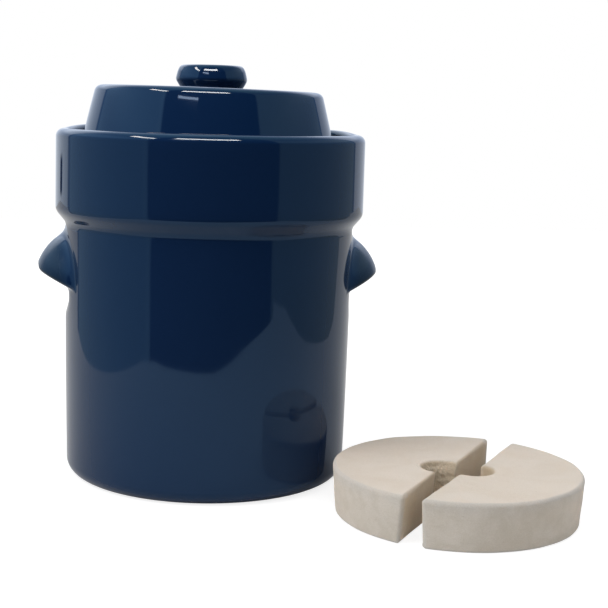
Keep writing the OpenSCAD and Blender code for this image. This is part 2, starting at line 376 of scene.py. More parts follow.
def crock_places(s):
    """Heights and radii of the crock that follow from its sizes. Between zone_lo and zone_hi the rows of
    the surface follow the lugs."""
    s.foot_r = s.wall_r - s.wall_taper
    s.collar_in = s.collar_r - s.collar_t
    s.neck_out = s.collar_in - s.gutter_w
    s.neck_in = s.neck_out - s.neck_t
    s.neck_z = s.rim_z - s.neck_drop
    s.neck_round = s.neck_t * 0.45
    s.gutter_z = s.rim_z - s.gutter_d
    s.collar_z = s.rim_z - s.collar_h
    s.under_z = s.collar_z - (s.collar_r - s.wall_r) / np.tan(COLLAR_SLOPE)
    s.inner_r = s.wall_r - s.wall_t
    s.ceiling_z = s.gutter_z - s.gutter_t
    s.shoulder_z = s.ceiling_z - s.shoulder_drop
    s.lug_z = s.under_z - s.lug_drop
    s.lug_mid_r = s.wall_r + s.lug_reach - s.lug_ball_r
    s.lug_foot_z = s.lug_z - s.lug_foot
    s.dent_mid_r = s.wall_r + s.dent_r - s.dent_d
    s.zone_lo, s.zone_hi = s.lug_z - 25, s.under_z - 3.4
    return s


def wall_radius(z, s):
    """Radius of the wall: it widens by the taper as 1 - (1 - t)^1.9, where t is the share of the
    height below the collar, so it fills out quickly above the foot and is upright at the top."""
    share = np.clip(z / s.under_z, 0.0, 1.0)
    return s.wall_r - s.wall_taper * (1 - share) ** 1.9


def lug_field(r, z, off, s):
    """Roughly how far the point at radius r, height z and angle off from the lug's middle is outside
    the clay. The lug is a ball, less all below a cone and less the finger hollow's ball. The dent's
    ball, drawn out to twice its width, is taken from the wall alone. The lug is then filleted on to
    the wall, and the ball of the dent's middle is taken from both."""

    def ball(centre_r, centre_z, radius, narrow=1.0):
        across = r * r + centre_r * centre_r - 2 * r * centre_r * np.cos(off * narrow)
        return np.sqrt(np.maximum(across, 0.0) + (z - centre_z) ** 2) - radius

    under = (s.lug_foot_z + (r - s.wall_r) * np.tan(LUG_SLOPE) - z) * np.cos(LUG_SLOPE)
    lug = blended_most(ball(s.lug_mid_r, s.lug_z, s.lug_ball_r), under, s.lug_tip)
    hollow = ball(s.wall_r + s.hollow_out, s.lug_z - s.hollow_drop, s.hollow_r)
    lug = blended_most(lug, -hollow, s.lug_tip)
    dent = ball(s.dent_mid_r, s.lug_z - s.dent_drop, s.dent_r, 0.5)
    wall = blended_most(r - wall_radius(z, s), -dent, s.dent_edge)
    slip = s.lug_root + (s.lug_neck - s.lug_root) * smooth_step(z, s.lug_z, s.under_z)
    thumb = ball(s.dent_mid_r, s.lug_z - s.thumb_drop, s.dent_r - s.thumb_step)
    return blended_most(blended_least(wall, lug, slip), -thumb, s.thumb_edge)


def leaving(start_r, start_z, way_r, way_z, reach, off, s):
    """Where rays from inside the clay leave it for the last time, as the distance along each ray:
    the last change of the field's sign among even steps, narrowed by halving."""
    steps = np.linspace(0, reach, 72)
    far = steps[:, None, None]
    inside = lug_field(start_r + far * way_r, start_z + far * way_z, off, s) < 0
    last = len(steps) - 1 - np.argmax(inside[::-1], axis=0)
    near, beyond = steps[last], steps[np.minimum(last + 1, len(steps) - 1)]
    for _ in range(16):
        middle = (near + beyond) / 2
        within = lug_field(start_r + middle * way_r, start_z + middle * way_z, off, s) < 0
        near, beyond = np.where(within, middle, near), np.where(within, beyond, middle)
    return (near + beyond) / 2


def lug_rows(off, count, s):
    """The wall's outline past a lug for columns at the angles off from it. Below the lug's root, level
    rays from inside the wall find the surface. Above it, rays that fan out from one point do."""
    root_z = s.lug_foot_z - 0.8
    level = np.linspace(s.zone_lo, root_z, 70)[:, None]
    base_r, reach = 80.0, 60.0
    out = leaving(base_r, level, 1.0, 0.0, reach, off, s)
    low_r, low_z = base_r + out, level + 0 * out
    hub_r, hub_z = s.wall_r - 14.4, s.lug_z + 27.6
    top = np.arctan2(s.zone_hi - hub_z, wall_radius(s.zone_hi, s) - hub_r)
    bottom = np.arctan2(root_z - hub_z, low_r[-1] - hub_r)
    fan = bottom + (top - bottom) * np.linspace(0, 1, 240)[1:, None]
    out = leaving(hub_r, hub_z, np.cos(fan), np.sin(fan), reach, off, s)
    r = np.concatenate([low_r, hub_r + out * np.cos(fan)])
    z = np.concatenate([low_z, hub_z + out * np.sin(fan)])
    return evenly_along(r, z, count)


def crock_outline(s):
    """Half the crock's section without its lugs, from near the middle of the foot to near the middle
    of the floor. Each corner has its radius, its height, its rounding, and the gap between the points
    that lead to it."""
    return rounded_outline(
        [
            (0, 0, 0),
            (s.foot_r, 0, s.foot_round, 24),
            (s.wall_r, s.under_z, s.collar_round, 9),
            (s.collar_r, s.collar_z, s.collar_round, 3),
            (s.collar_r, s.rim_z, s.rim_round, 8),
            (s.collar_in, s.rim_z, s.gutter_round),
            (s.collar_in, s.gutter_z, s.gutter_round, 9),
            (s.neck_out, s.gutter_z, s.gutter_round, 6),
            (s.neck_out, s.neck_z, s.neck_round, 9),
            (s.neck_in, s.neck_z, s.neck_round),
            (s.neck_in, s.ceiling_z, s.neck_foot_round, 9),
            (s.inner_r, s.shoulder_z, s.shoulder_round, 6),
            (s.foot_r - s.wall_t, s.base_t, s.floor_round, 16),
            (2, s.base_t, 0, 22),
        ],
        3.0,
    )[1:]


def crock_surface(s):
    """The whole crock as one turned surface of angle and row: across the foot, up the wall, over the
    rim, round the gutter and the neck, and down inside to the floor. The rows past the lugs follow
    the lugs' outline, the outside sinks by shallow waves, and the rim rises towards the rear. bare is
    the unglazed foot, thin the glaze along the rim, and handled marks the lugs, which get painted shade and a
    duller gloss."""
    columns, rows = 336, 108
    angle = spaced_angles(columns, [LUG_TURN, LUG_TURN + np.pi], LUG_HALF_ANGLE, 2.0)
    outline = crock_outline(s)
    below = outline[: np.argmax(outline[:, 1] >= s.zone_lo)]
    above = outline[np.argmax(outline[:, 1] > s.zone_hi) :]
    straight = s.foot_r + s.wall_taper * below[:, 1] / s.under_z
    below[:, 0] += wall_radius(below[:, 1], s) - straight
    even = np.linspace(s.zone_lo, s.zone_hi, rows)[:, None] + 0 * angle
    zone_r, zone_z = wall_radius(even, s), even
    off = (angle - LUG_TURN + np.pi / 2) % np.pi - np.pi / 2
    near = np.abs(off) < LUG_HALF_ANGLE
    zone_r[:, near], zone_z[:, near] = lug_rows(off[near], rows, s)
    r = np.concatenate([below[:, :1] + 0 * angle, zone_r, above[:, :1] + 0 * angle])
    z = np.concatenate([below[:, 1:] + 0 * angle, zone_z, above[:, 1:] + 0 * angle])
    outside = (np.arange(len(r)) < len(below) + rows + np.argmax(above[:, 1]))[:, None]
    settled = smooth_step(z, 2, 16) * (1 - smooth_step(z, s.rim_z - 8, s.rim_z - 0.5)) * outside
    r = r - s.waves * waves(angle, z, 0.8) * settled
    bare = (z < 0.35) * (1 - smooth_step(r, s.foot_r - 9.5, s.foot_r - 8.0))
    rim = smooth_step(z, s.rim_z - 16, s.rim_z - 3) * (r > s.neck_out + 4)
    z = z + s.warp * rim * smooth_step(np.sin(angle), 0.0, 0.5)
    points = np.stack([r * np.cos(angle), r * np.sin(angle), z], -1)
    thin = smooth_step(z, s.rim_z - 2.0, s.rim_z) * (r > s.collar_in - 1)
    # The lugs, whose glaze gets painted shade and a duller gloss
    handled = smooth_step(r, s.wall_r + 1, s.wall_r + 9) * (z < s.under_z - 12)
    return points, [(0, 0, 0), (0, 0, s.base_t)], {"bare": bare, "thin": thin, "handled": handled}


def lid_places(s):
    """Heights and radii of the lid that follow from its sizes."""
    s.slope_z = s.foot_z + s.skirt_h
    s.top_r = s.skirt_out - s.side_in
    s.skirt_in = s.skirt_out - s.lid_t
    s.ceiling_z = s.top_z - s.top_t
    s.ceiling_r = s.top_r - s.lid_t + s.top_t * s.side_in / (s.top_z - s.slope_z)
    return s


def lid_outline(s):
    """Half the section of the lid and its knob, from near the middle of the hollow to near the middle
    of the knob's top. Its corners are given like the crock's."""
    return rounded_outline(
        [
            (0, s.ceiling_z, 0),
            (s.ceiling_r, s.ceiling_z, s.lid_round, 15),
            (s.skirt_in, s.slope_z, s.lid_round, 6),
            (s.skirt_in, s.foot_z, s.foot_round, 2.5),
            (s.skirt_out, s.foot_z, s.foot_round),
            (s.skirt_out, s.slope_z, s.lid_round, 2.5),
            (s.top_r, s.top_z, s.lid_round, 5),
            (s.knob_foot_r, s.top_z, s.knob_foot_round, 3),
            (s.knob_r, s.top_z + s.knob_waist, s.knob_waist_round, 1),
            (s.knob_side_r, s.top_z + s.knob_side, s.knob_side_round, 1),
            (s.knob_top_r, s.knob_top, s.knob_round, 1),
            (1, s.knob_top, 0, 3),
        ],
        3.0,
    )[1:]


def lid_surface(s):
    """The lid and its knob as one turned surface of angle and row: from the middle of the hollow out,
    down inside the skirt, up outside it, in over the top and up the knob. The sloped side bulges by
    4t(1 - t), where t is the share of its height, and the outside sinks by shallow waves. The turning
    axis slides from the lid's to the knob's, the skirt's foot is lifted over the two gas notches by
    the height of a half circle, and the top sags and tilts. bare is the unglazed foot, and thin the
    glaze along the shoulder."""
    angle = spaced_angles(300, [np.pi / 2, 3 * np.pi / 2], 0.07, 5.0)
    outline = lid_outline(s)
    r, z = outline[:, :1] + 0 * angle, outline[:, 1:] + 0 * angle
    outside = np.arange(len(r))[:, None] > np.argmin(outline[:, 1])
    share = np.clip((z - s.slope_z) / (s.top_z - s.slope_z), 0.0, 1.0)
    r = r + s.bulge * 4 * share * (1 - share) * outside * (r > s.knob_r + 9)
    r = r - s.waves * waves(angle, z, 2.9) * outside * smooth_step(r, 6, 20)
    top = outside * smooth_step(r, 27, 40) * smooth_step(z, s.top_z - 3, s.top_z)
    z = z - s.waves * 2 * waves(angle, r, 4.4) * top

    upper = outside * (z > s.top_z - 1.5)
    shift = s.lid_shift + (s.knob_shift - s.lid_shift) * (1 - smooth_step(r, 27, 46)) * upper
    x, y = r * np.cos(angle) - shift, r * np.sin(angle)
    lift = np.sqrt(np.maximum(s.notch_r**2 - (r * np.cos(angle)) ** 2, 0.0))
    lift = lift * np.clip((s.foot_z + s.notch_reach - z) / s.notch_reach, 0.0, 1.0)
    bare = 1 - smooth_step(z, s.foot_z + 0.6, s.foot_z + 1.8)
    z = z + lift
    fall = -s.sag - s.tilt / 100 * (x + s.lid_shift)
    fall = fall * (1 - smooth_step(z, s.top_z + 1.5, s.top_z + 8))
    z = z + fall * smooth_step(z, s.foot_z + 12, s.top_z - 12)
    shoulder = smooth_step(r, s.top_r - 9, s.top_r - 2) * (1 - smooth_step(r, s.top_r - 1, s.top_r + 3))
    thin = shoulder * smooth_step(z, s.top_z - 2.2, s.top_z)
    poles = [(-s.lid_shift, 0, s.ceiling_z - s.sag), (-s.knob_shift, 0, s.knob_top)]
    return np.stack([x, y, z], -1), poles, {"bare": bare, "thin": thin}


# How each weight was cut, in millimetres and in one frame for both, where the disc's middle is the
# origin, the cut face runs along x and the stone lies towards y. side is -1 for the weight that is
# mirrored in its cut. front_cut and rear_cut are how far the face stands back on either side of the
# notch, lean is how far the foot of the front one leans in, and notch_at is the notch's place along
# the cut. notch_edge and side_edge are the rounding of the face's edges by the notch and by the side,
# torn is how deep the notch's wall is broken out, and turn is the cut's direction, in radians.
LEFT_HALF = SimpleNamespace(
    side=1,
    front_cut=8.5,
    rear_cut=2.5,
    lean=3.0,
    notch_at=-5.0,
    notch_edge=1.4,
    side_edge=2.4,
    torn=3.0,
    turn=np.radians(62),
)
RIGHT_HALF = SimpleNamespace(
    side=-1,
    front_cut=5.0,
    rear_cut=11.0,
    lean=1.0,
    notch_at=-1.5,
    notch_edge=4.6,
    side_edge=3.8,
    torn=0.0,
    turn=np.radians(60),
)


def stone_loop():
    """Once round the section of a weight, up the notch's wall, out over the top, down the round side
    and back below. Each point has its share of the way from the notch to the side, the cosine and sine
    of its place round its corner, and its share of the way up."""
    quarter = np.linspace(0, np.pi / 2, 7)
    rise, flat = np.linspace(0, 1, 30)[1:-1], np.linspace(0, 1, 46)[1:-1]
    below = 1 - flat[::2]
    parts = [
        (0 * rise, 1 + 0 * rise, 0 * rise, rise),
        (0 * quarter, np.cos(quarter), np.sin(quarter), 1 + 0 * quarter),
        (flat, 0 * flat, 1 + 0 * flat, 1 + 0 * flat),
        (1 + 0 * quarter, np.sin(quarter), np.cos(quarter), 1 + 0 * quarter),
        (1 + 0 * rise, 1 + 0 * rise, 0 * rise, 1 - rise),
        (1 + 0 * quarter, np.cos(quarter), -np.sin(quarter), 0 * quarter),
        (below, 0 * below, -1 + 0 * below, 0 * below),
        (0 * quarter, np.sin(quarter), -np.cos(quarter), 0 * quarter),
    ]
    return (np.concatenate(part) for part in zip(*parts))


def stone_section(s, half, away):
    """The loop's points in the sections at given distances away from a cut face: how far each lies in
    from the notch's circle or the disc's, its height, and the inset that rounds the face's edges. At
    the distance d the section shrinks by e - sqrt(e^2 - (e - d)^2), where e is the rounding."""
    share, out, up, level = stone_loop()
    upper = level > 0.5
    edge = half.notch_edge + (half.side_edge - half.notch_edge) * smooth_step(share, 0.3, 0.7)
    edge = edge * np.where(upper | (out > 0.99), 1.0, 0.75)
    inset = edge - np.sqrt(edge**2 - np.maximum(edge - away, 0) ** 2)
    low = np.maximum(inset, s.foot_round)
    high = s.stone_t - np.maximum(inset, s.top_round)
    most = np.where(upper, np.maximum(inset, s.top_round), low)
    left = most - inset
    upright = (np.abs(up) < 1e-9) & (out > 0.99)
    height = np.where(upright, low + (high - low) * level, np.where(upper, high, low) + left * up)
    return most - left * out, height, inset


def stone_turns(s, half, away, rows, notch_y, notch_r, disc_r, height):
    """The angle of each point round the notch and round the disc, and how far the point by the notch
    lies past the notch's middle. In the first and last rows all of a section lies at one distance
    from its cut face, and the face in front of the notch leans in towards its foot. In between, both
    angles turn evenly."""

    def turns(cut, part):
        y = cut + away[part]
        by_notch = np.arcsin(np.clip((y - notch_y) / notch_r[part], -1, 1))
        return by_notch, np.arcsin(np.clip(y / disc_r[part], -1, 1))

    behind, before = slice(None, rows), slice(-rows, None)
    front_cut = half.front_cut + half.lean * (1 - height[before] / s.stone_t)
    a_rear, b_rear = turns(half.rear_cut, behind)
    a_front, b_front = turns(front_cut, before)
    a_front, b_front = np.pi - np.maximum(a_front, 0), np.pi - b_front
    t = np.linspace(0, 1, len(away) - 2 * rows + 2)[1:-1, None]
    a = np.concatenate([a_rear, a_rear[-1] + (a_front[0] - a_rear[-1]) * t, a_front])
    b = np.concatenate([b_rear, b_rear[-1] + (b_front[0] - b_rear[-1]) * t, b_front])
    past = np.minimum(front_cut + away[before] - notch_y, 0)
    return a, b, np.concatenate([0 * a[:-rows], past])


def torn_part(angle, half_width):
    """1 along the torn part of the notch's wall and 0 beyond it: exp(-((a - 0.95) / w)^6), where w is
    half its width and all angles are from the rear cut."""
    return np.exp(-(((angle - 0.95) / half_width) ** 6))


def stone_surface(s, half):
    """A half-round weight as a section carried round from one cut face to the other. Each section
    runs from the notch's circle out to the disc's circle. Rings that close in on the middle of the
    end sections fill the two faces. The side and the top sink by lumps, and the notch's wall sinks
    where it is torn, up to a ragged edge below the top. cut is 1 on the cut faces and in the notch,
    worn marks a painted bluish sheen on the rounded edges and the upper flank, flank is 1 on the upright
    faces, and broken where the notch is torn."""
    share, out, up, _ = stone_loop()
    near = 3.2 * (1 - np.cos(np.linspace(0, np.pi / 2, 10)))
    near = np.concatenate([near, [4.0, 5.0, 6.0]])
    away = np.concatenate([near, np.full(130, 9.0), near[::-1]])[:, None]
    off, height, inset = stone_section(s, half, away)
    notch_r = s.notch_r + off
    disc_r = s.stone_r - s.draft * (1 - height / s.stone_t) - off
    notch_y = max(half.front_cut, half.rear_cut)
    a, b, past = stone_turns(s, half, away, len(near), notch_y, notch_r, disc_r, height)

    ragged = lumps(9 * a, height, 0 * a, 5, 1.2)
    tear = 1 - smooth_step(height + 1.6 * ragged, s.stone_t - 5.5, s.stone_t - 3.5)
    tear = half.torn * tear * torn_part(a, 1.35) * (0.85 + 0.25 * ragged)
    notch_r = notch_r - tear * np.maximum(1 - 4 * share, 0)
    sunk = 0.5 + 0.5 * lumps(s.stone_r * b, height * 2, share * 40, 55, 0.4 + half.turn)
    disc_r = disc_r - s.unevenness * sunk
    x = (1 - share) * (half.notch_at + notch_r * np.cos(a)) + share * disc_r * np.cos(b)
    y = (1 - share) * (notch_y + notch_r * np.sin(a) + past) + share * disc_r * np.sin(b)
    dip = s.unevenness * (0.5 + 0.5 * lumps(x, y, 0 * x, 60, 2.0 + half.turn))
    height = height - dip * np.maximum(up, 0)

    corner = (out > 0.05) & (np.abs(up) > 0.05)
    cut = np.maximum(1 - smooth_step(away, 0, 2.5), (share < 0.02) * smooth_step(out, 0.3, 0.9))
    # Painted sheen: where the rounded edges and the upper flank get a greyer, bluish tone standing in for the
    # light they catch
    worn = (inset > 0.05) * (away < 3) * (0.2 + 0.8 * (share > 0.9))
    worn = np.maximum(worn, corner * (share > 0.5))
    band = 0.55 * smooth_step(height, s.stone_t - 11, s.stone_t - 2) + 0.45 * smooth_step(b, 1.9, 2.9)
    worn = np.maximum(worn, band * (share > 0.5) * (np.abs(up) < 0.9))
    broken = (half.torn > 0) * (share < 0.02) * torn_part(a, 1.4) * smooth_step(height, 4, 16)

    points = np.stack([x, y, height], -1)
    levels = np.linspace(0, 1, 9)[1:-1, None, None]
    poles = points[0].mean(0), points[-1].mean(0)
    first = poles[0] + (points[0] - poles[0]) * levels
    last = poles[1] + (points[-1] - poles[1]) * levels[::-1]
    points = np.concatenate([first, points, last])

    def with_faces(values, on_face):
        face = np.full((len(levels), len(share)), float(on_face))
        return np.concatenate([face, values + 0 * height, face])

    layers = {
        "cut": with_faces(cut, 1),
        "worn": with_faces(worn, 0),
        "flank": with_faces(np.abs(up) < 0.4, 1),
        "broken": with_faces(broken, 0),
    }
    cosine, sine = np.cos(half.turn), np.sin(half.turn)
    turned = np.array([[cosine, sine, 0], [-half.side * sine, half.side * cosine, 0], [0, 0, 1]])
    middle = np.array([s.middle_x, s.middle_y, 0])
    return points @ turned + middle, [pole @ turned + middle for pole in poles], layers


def add_node(tree, kind, inputs=None, **settings):
    """A node with its settings, whose inputs are set to values or linked from other nodes' outputs."""
    made = tree.nodes.new(kind)
    for key, value in settings.items():
        setattr(made, key, value)
    for key, value in (inputs or {}).items():
        if isinstance(value, bpy.types.NodeSocket):
            tree.links.new(value, made.inputs[key])
        else:
            made.inputs[key].default_value = value
    return made


def calculate(tree, operation, *values, clamp=False):
    """The result of one sum, product or other operation on numbers."""
    made = add_node(tree, "ShaderNodeMath", dict(enumerate(values)), operation=operation, use_clamp=clamp)
    return made.outputs[0]


def as_grey(tree, value):
    """The grey whose red, green and blue are all the value."""
    return add_node(tree, "ShaderNodeCombineColor", {0: value, 1: value, 2: value}).outputs[0]


def stretch(tree, value, low, high, to_low=0.0, to_high=1.0, smooth=True):
    """A value moved from one range to another, and held at its ends."""
    inputs = {"Value": value, "From Min": low, "From Max": high, "To Min": to_low, "To Max": to_high}
    kind = "SMOOTHSTEP" if smooth else "LINEAR"
    return add_node(tree, "ShaderNodeMapRange", inputs, interpolation_type=kind).outputs[0]


def mixed(tree, share, a, b, blend="MIX"):
    """Two colours mixed by share."""
    made = add_node(tree, "ShaderNodeMix", data_type="RGBA", blend_type=blend)
    for socket, value in zip((made.inputs[0], made.inputs[6], made.inputs[7]), (share, a, b)):
        if isinstance(value, bpy.types.NodeSocket):
            tree.links.new(value, socket)
        elif isinstance(value, (int, float)):
            socket.default_value = value
        else:
            socket.default_value = (*value, 1.0)
    return made.outputs[2]


def noise(tree, place, scale, detail=2.0, roughness=0.5, distortion=0.0):
    """Soft noise from 0 to 1 at a number of waves per metre."""
    inputs = {"Vector": place, "Scale": scale, "Detail": detail}
    inputs.update({"Roughness": roughness, "Distortion": distortion})
    return add_node(tree, "ShaderNodeTexNoise", inputs).outputs[0]


def spots(tree, place, scale, radius, few):
    """Round spots, 1 in the middle and 0 outside. There is a cell for each, and only the share few
    of the cells keeps its spot."""
    cells = add_node(tree, "ShaderNodeTexVoronoi", {"Vector": place, "Scale": scale, "Randomness": 0.9})
    pick = add_node(tree, "ShaderNodeSeparateColor", {0: cells.outputs["Color"]})
    size = stretch(tree, pick.outputs[0], 1 - few, 1.0, 0.0, radius, smooth=False)
    inside = calculate(tree, "SUBTRACT", size, cells.outputs["Distance"])
    return stretch(tree, inside, 0.0, radius * 0.5)


def bump(tree, height, distance, under=None):
    """A normal pushed by a height from 0 to 1, which stands for that distance in metres."""
    inputs = {"Height": height, "Distance": distance, "Strength": 1.0}
    if under is not None:
        inputs["Normal"] = under
    return add_node(tree, "ShaderNodeBump", inputs).outputs[0]


def new_material(name):
    """An empty node material, with its nodes, its output and the Object coordinates."""
    material = bpy.data.materials.new(name)
    material.use_nodes = True
    tree = material.node_tree
    tree.nodes.clear()
    output = add_node(tree, "ShaderNodeOutputMaterial")
    place = add_node(tree, "ShaderNodeTexCoord").outputs["Object"]
    return material, tree, output, place


def attribute(tree, name):
    """A value kept on the piece's points."""
    return add_node(tree, "ShaderNodeAttribute", attribute_name=name).outputs["Fac"]


def glaze_material(finish):
    """Glossy dark blue glaze over stoneware: clouds of thicker and thinner glaze, a fine mottle, thinner
    glaze along the edges, painted shade and a duller gloss on the lugs, a few pale pinholes, a faint ripple,
    and bare clay where the attribute says so."""
    material, tree, output, place = new_material("blue glaze")
    clouds = noise(tree, place, 14.0, 3.0, 0.55, 0.4)
    mottle = noise(tree, place, 420.0, 3.0, 0.6)
    share = calculate(tree, "MULTIPLY_ADD", stretch(tree, clouds, 0.3, 0.72), 0.22, 0.0)
    share = calculate(tree, "MULTIPLY_ADD", stretch(tree, mottle, 0.35, 0.7), 0.10, share)
    share = calculate(tree, "MULTIPLY_ADD", attribute(tree, "thin"), 0.45, share, clamp=True)
    colour = mixed(tree, share, finish.glaze, finish.glaze_thin)
    handled = attribute(tree, "handled")
    # Painted shade: the lugs' base colour is darkened where handled is set
    colour = mixed(tree, calculate(tree, "MULTIPLY", handled, 0.85), colour, finish.glaze_lug)
    pinholes = spots(tree, place, 62.0, 0.028, 0.22)
    colour = mixed(tree, pinholes, colour, finish.pinhole)
    gloss = stretch(tree, noise(tree, place, 35.0, 4.0, 0.6), 0.3, 0.75, 0.035, 0.065)
    gloss = calculate(tree, "MULTIPLY_ADD", pinholes, 0.3, gloss)
    gloss = calculate(tree, "MULTIPLY_ADD", handled, 0.20, gloss)
    ripple = bump(tree, noise(tree, place, 46.0, 1.0, 0.4), 0.000045)
    ripple = bump(tree, noise(tree, place, 230.0, 1.0, 0.5), 0.0000012, ripple)
    ripple = bump(tree, calculate(tree, "SUBTRACT", 1.0, pinholes), 0.00005, ripple)
    glass = add_node(
        tree,
        "ShaderNodeBsdfPrincipled",
        {
            "Base Color": colour,
            "Roughness": gloss,
            "IOR": 1.46,
            "Specular Tint": (*finish.reflection, 1.0),
            "Normal": ripple,
        },
    )
    grain = noise(tree, place, 900.0, 4.0, 0.6)
    clay_colour = mixed(tree, stretch(tree, grain, 0.3, 0.7), finish.body_clay, finish.body_grain)
    clay = add_node(
        tree,
        "ShaderNodeBsdfPrincipled",
        {"Base Color": clay_colour, "Roughness": 0.85, "IOR": 1.3, "Normal": bump(tree, grain, 0.00015)},
    )
    edge = calculate(tree, "MULTIPLY_ADD", noise(tree, place, 300.0, 2.0), 0.5, -0.25)
    bare = stretch(tree, calculate(tree, "ADD", attribute(tree, "bare"), edge), 0.35, 0.6)
    both = add_node(tree, "ShaderNodeMixShader", {0: bare, 1: glass.outputs[0], 2: clay.outputs[0]})
    tree.links.new(both.outputs[0], output.inputs[0])
    return material


def stone_material(finish):
    """Bare pale stoneware: faint stains, a fine grain with dark and light specks, pits, a greyer painted
    sheen on the rounded edges, browner cut faces, a brown mottle and fine level scratches on the upright
    faces, and coarse crumbs where the notch is broken."""
    material, tree, output, place = new_material("bare stoneware")
    stains = noise(tree, place, 22.0, 4.0, 0.6, 0.6)
    grain = noise(tree, place, 1500.0, 4.0, 0.65)
    colour = mixed(tree, stretch(tree, stains, 0.35, 0.75), finish.stone, finish.stone_stain)
    patches = stretch(tree, noise(tree, place, 60.0, 4.0), 0.3, 0.7, 0.65, 1.0)
    cut = calculate(tree, "MULTIPLY", attribute(tree, "cut"), patches)
    colour = mixed(tree, cut, colour, finish.stone_cut)
    # Painted sheen: the greyer, bluish tone on the rounded edges and the upper flank
    worn = calculate(tree, "MULTIPLY", attribute(tree, "worn"), stretch(tree, stains, 0.3, 0.6, 0.35, 0.8))
    colour = mixed(tree, worn, colour, finish.stone_edge)
    specks = add_node(tree, "ShaderNodeValToRGB", {0: grain}).outputs[0]
    colour = mixed(tree, 0.26, colour, specks, "OVERLAY")
    pits = spots(tree, place, 180.0, 0.085, 0.22)
    small_pits = spots(tree, place, 520.0, 0.16, 0.25)
    dark = calculate(tree, "MAXIMUM", pits, calculate(tree, "MULTIPLY", small_pits, 0.35))
    colour = mixed(tree, calculate(tree, "MULTIPLY", dark, 0.45), colour, finish.stone_pit)
    mottle = stretch(tree, noise(tree, place, 75.0, 5.0, 0.65, 0.8), 0.38, 0.68)
    flank = attribute(tree, "flank")
    mottle = calculate(tree, "MULTIPLY", mottle, flank)
    colour = mixed(tree, calculate(tree, "MULTIPLY", mottle, 0.30), colour, finish.stone_flank)
    drawn = add_node(tree, "ShaderNodeMapping", {"Vector": place, "Scale": (90.0, 90.0, 700.0)}).outputs[0]
    scratches = noise(tree, drawn, 1.0, 4.0, 0.7)
    scratches = calculate(tree, "MULTIPLY", stretch(tree, scratches, 0.5, 0.75), flank)
    colour = mixed(tree, calculate(tree, "MULTIPLY", scratches, 0.10), colour, finish.stone_scratch)
    face = bump(tree, noise(tree, place, 240.0, 5.0, 0.65), 0.0003)
    face = bump(tree, grain, 0.00006, face)
    face = bump(tree, calculate(tree, "SUBTRACT", 1.0, scratches), 0.00006, face)
    crumbs = calculate(tree, "MULTIPLY", noise(tree, place, 380.0, 3.0, 0.6), attribute(tree, "broken"))
    face = bump(tree, crumbs, 0.0012, face)
    face = bump(tree, calculate(tree, "SUBTRACT", 1.0, dark), 0.0003, face)
    stone = add_node(
        tree,
        "ShaderNodeBsdfPrincipled",
        {
            "Base Color": colour,
            "Roughness": stretch(tree, grain, 0.3, 0.7, 0.78, 0.95),
            "IOR": 1.35,
            "Diffuse Roughness": 0.6,
            "Normal": face,
        },
    )
    tree.links.new(stone.outputs[0], output.inputs[0])
    return material


def table_material():
    """Plain white table top. Seen straight it is lifted to white by a glow that grows away from the crock, so
    that only the shadows on it stay, and for all other light it is a plain pale surface. The glaze shows it
    as a paler grey with painted shade that makes it a little dimmer towards the rear, where the light falls
    off."""
    material, tree, output, place = new_material("white table")
    plain = add_node(tree, "ShaderNodeBsdfDiffuse", {"Color": (0.8, 0.8, 0.8, 1.0)})
    rearward = add_node(tree, "ShaderNodeSeparateXYZ", {0: place}).outputs[1]
    # Painted shade: as the glaze sees it, the table darkens towards the rear to stand in for the light
    # falling off
    dimmer = as_grey(tree, stretch(tree, rearward, -0.12, 0.08, 0.72, 0.67))
    mirrored = add_node(tree, "ShaderNodeBsdfDiffuse", {"Color": dimmer})
    away = add_node(tree, "ShaderNodeVectorMath", {0: place}, operation="LENGTH").outputs["Value"]
    shaded = add_node(tree, "ShaderNodeBsdfDiffuse", {"Color": (0.3, 0.3, 0.3, 1.0)})
    lifted = stretch(tree, away, 0.3, 0.7, 0.82, 1.0)
    lift = add_node(tree, "ShaderNodeEmission", {"Color": (1.0, 1.0, 1.0, 1.0), "Strength": lifted})
    seen = add_node(tree, "ShaderNodeAddShader", {0: shaded.outputs[0], 1: lift.outputs[0]})
    path = add_node(tree, "ShaderNodeLightPath")
    both = plain
    for ray, shown in (("Is Glossy Ray", mirrored), ("Is Camera Ray", seen)):
        inputs = {0: path.outputs[ray], 1: both.outputs[0], 2: shown.outputs[0]}
        both = add_node(tree, "ShaderNodeMixShader", inputs)
    tree.links.new(both.outputs[0], output.inputs[0])
    return material


# The walls of the studio as the glaze shows them: the bearing in degrees from the front, towards the
# right, and the linear colour there
WALLS = [
    (-180, (0.90, 0.90, 0.90)),
    (-128.5, (0.86, 0.90, 0.90)),
    (-127.5, (0.14, 0.16, 0.18)),
    (-125.5, (0.14, 0.16, 0.18)),
    (-124.5, (0.34, 0.45, 0.50)),
    (-90, (0.40, 0.54, 0.61)),
    (-50, (0.38, 0.50, 0.56)),
    (-48.5, (0.46, 0.58, 0.62)),
    (-46.5, (0.46, 0.58, 0.62)),
    (-46, (0.0, 0.0, 0.0)),
    (50, (0.0, 0.0, 0.0)),
    (50.7, (0.31, 0.34, 0.28)),
    (90, (0.31, 0.34, 0.28)),
    (130.5, (0.28, 0.30, 0.25)),
    (131, (0.10, 0.11, 0.12)),
    (132.4, (0.10, 0.11, 0.12)),
    (133, (0.62, 0.62, 0.62)),
    (180, (0.80, 0.80, 0.80)),
]

